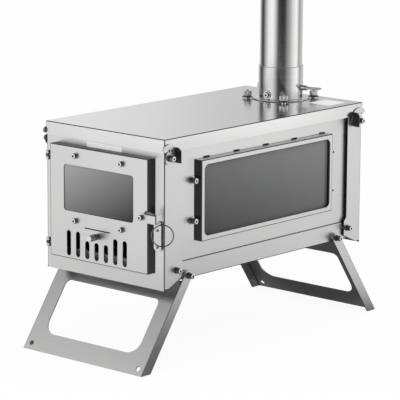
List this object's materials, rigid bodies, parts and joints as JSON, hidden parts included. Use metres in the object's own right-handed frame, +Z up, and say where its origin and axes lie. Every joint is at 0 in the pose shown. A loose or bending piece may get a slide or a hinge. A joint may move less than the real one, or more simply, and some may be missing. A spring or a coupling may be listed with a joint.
{
  "type": "wood-burning stove",
  "caption": "Portable box wood stove of folded steel with folding legs, glazed sides and a hinged glass door with air slider, flue collar with damper and a pipe section.",
  "frame": {"origin": "on the floor, midway between the pivots of the two folding legs", "axes": "+Z up, +X towards the side of the door latch, -Y towards the door"},
  "size_m": [0.2372, 0.492, 0.605],
  "materials": {
    "brushed_sheet": "brushed stainless sheet, brush lines along the panel",
    "lid_sheet": "bright brushed stainless sheet, brush lines along the length",
    "leg_sheet": "satin stainless sheet",
    "flue_sheet": "rolled stainless sheet, fine brushing along the pipe",
    "screw_steel": "turned and polished stainless",
    "heat_steel": "steel darkened by heat",
    "grate_iron": "cast iron",
    "ceramic_glass": "clear ceramic glass in front of a dark firebox"
  },
  "bodies": {
    "stove_body": {"base_tray": "brushed_sheet", "side_panel_left": "brushed_sheet", "side_panel_right": "brushed_sheet", "front_panel": "brushed_sheet", "rear_panel": "brushed_sheet", "top_plate": "lid_sheet", "window_frame_left": "brushed_sheet", "window_frame_right": "brushed_sheet", "window_glass_left": "ceramic_glass", "window_glass_right": "ceramic_glass", "window_retainer_left": "brushed_sheet", "window_retainer_right": "brushed_sheet", "window_screws": "screw_steel", "panel_screws": "screw_steel", "leg_pivot_screws": "screw_steel", "leg_pivot_bushes": "screw_steel", "corner_latch_screws": "screw_steel", "corner_keeper_pins": "screw_steel", "flue_collar": "flue_sheet", "flue_studs": "screw_steel", "flue_thumb_nuts": "screw_steel", "collar_screw": "screw_steel", "hinge_lugs": "brushed_sheet", "hinge_pins": "screw_steel", "latch_keeper": "brushed_sheet", "keeper_rivets": "screw_steel", "fire_grate": "grate_iron", "baffle_plate": "heat_steel", "baffle_brackets": "heat_steel"},
    "door": {"door_shell": "brushed_sheet", "door_glass": "ceramic_glass", "door_retainer": "brushed_sheet", "door_window_screws": "screw_steel", "latch_screw": "screw_steel", "slider_rails": "brushed_sheet"},
    "air_control": {"air_slider": "brushed_sheet", "air_knob": "screw_steel"},
    "latch": {"latch_arm": "brushed_sheet"},
    "ring": {"pull_ring": "screw_steel"},
    "leg_front": {"front_leg": "leg_sheet"},
    "leg_rear": {"rear_leg": "leg_sheet"},
    "damper": {"damper_disc": "heat_steel", "damper_axle": "screw_steel", "damper_handle": "screw_steel", "damper_rivets": "screw_steel"},
    "corner_hook_front_left": {"corner_latch_front_left": "brushed_sheet"},
    "corner_hook_front_right": {"corner_latch_front_right": "brushed_sheet"},
    "corner_hook_rear_left": {"corner_latch_rear_left": "brushed_sheet"},
    "corner_hook_rear_right": {"corner_latch_rear_right": "brushed_sheet"},
    "pipe": {"flue_pipe": "flue_sheet"}
  },
  "joints": [
    {"name": "door_hinge", "type": "hinge", "parent": "stove_body", "child": "door", "pos_m": [-0.097, -0.2075, 0.203], "axis": [0, 0, -1], "range_deg": [0, 150]},
    {"name": "air_slide", "type": "slide", "parent": "door", "child": "air_control", "axis": [-1, 0, 0], "range_m": [0, 0.0085]},
    {"name": "latch_lift", "type": "hinge", "parent": "door", "child": "latch", "pos_m": [0.0796, -0.2147, 0.2015], "axis": [0, -1, 0], "range_deg": [0, 45]},
    {"name": "ring_swing", "type": "hinge", "parent": "latch", "child": "ring", "pos_m": [0.1075, -0.20482, 0.19415], "axis": [-0.7478, -0.6639, 0], "range_deg": [-5, 80]},
    {"name": "front_leg_fold", "type": "hinge", "parent": "stove_body", "child": "leg_front", "pos_m": [0, -0.155, 0.119], "axis": [1, 0, 0], "range_deg": [0, 124.6]},
    {"name": "rear_leg_fold", "type": "hinge", "parent": "stove_body", "child": "leg_rear", "pos_m": [0, 0.155, 0.119], "axis": [-1, 0, 0], "range_deg": [0, 124.6]},
    {"name": "damper_turn", "type": "hinge", "parent": "stove_body", "child": "damper", "pos_m": [0, 0.159, 0.3215], "axis": [0.9511, 0.309, 0], "range_deg": [0, 90]},
    {"name": "corner_hook_front_left_turn", "type": "hinge", "parent": "stove_body", "child": "corner_hook_front_left", "pos_m": [-0.1083, -0.193, 0.28], "axis": [-1, 0, 0], "range_deg": [0, 75]},
    {"name": "corner_hook_front_right_turn", "type": "hinge", "parent": "stove_body", "child": "corner_hook_front_right", "pos_m": [0.1083, -0.193, 0.28], "axis": [-1, 0, 0], "range_deg": [0, 75]},
    {"name": "corner_hook_rear_left_turn", "type": "hinge", "parent": "stove_body", "child": "corner_hook_rear_left", "pos_m": [-0.1083, 0.201, 0.28], "axis": [1, 0, 0], "range_deg": [0, 75]},
    {"name": "corner_hook_rear_right_turn", "type": "hinge", "parent": "stove_body", "child": "corner_hook_rear_right", "pos_m": [0.1083, 0.201, 0.28], "axis": [1, 0, 0], "range_deg": [0, 75]},
    {"name": "pipe_lift", "type": "slide", "parent": "stove_body", "child": "pipe", "axis": [0, 0, 1], "range_m": [0, 0.06]}
  ]
}
